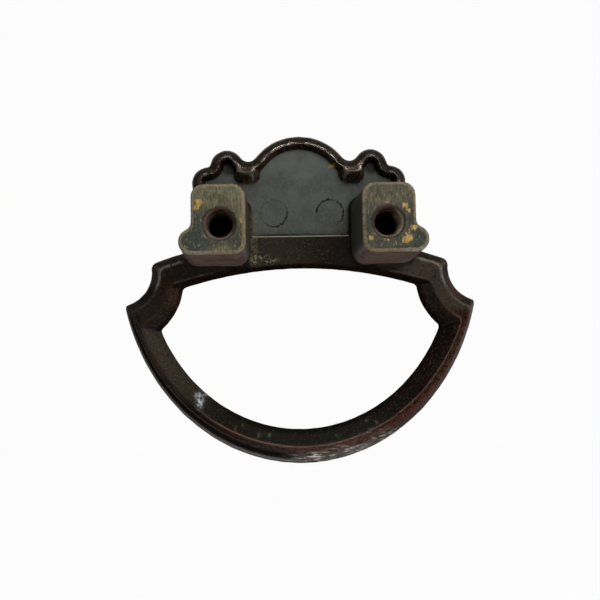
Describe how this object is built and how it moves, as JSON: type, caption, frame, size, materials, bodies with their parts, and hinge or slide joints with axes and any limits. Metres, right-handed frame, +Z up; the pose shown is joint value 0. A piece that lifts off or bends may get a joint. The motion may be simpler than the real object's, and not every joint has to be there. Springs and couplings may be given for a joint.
{
  "type": "ring pull handle",
  "caption": "One-piece cast drawer pull: a half-moon ring with notched shoulders under a scalloped crest plate with a hollow back, on tapped posts.",
  "frame": {"origin": "midway between the two tapped holes, on the plane of the post ends, which is the face of the drawer front", "axes": "+Z up, +X along the line of the two holes, +Y into the drawer; the handle stands out towards -Y"},
  "size_m": [0.0586, 0.02, 0.0547],
  "materials": {
    "antique_brass": "dark antique brass plating on a zinc alloy casting, matt in the hollow back, glossy and worn on the ring"
  },
  "bodies": {
    "root": {"pull_handle": "antique_brass"}
  },
  "joints": []
}
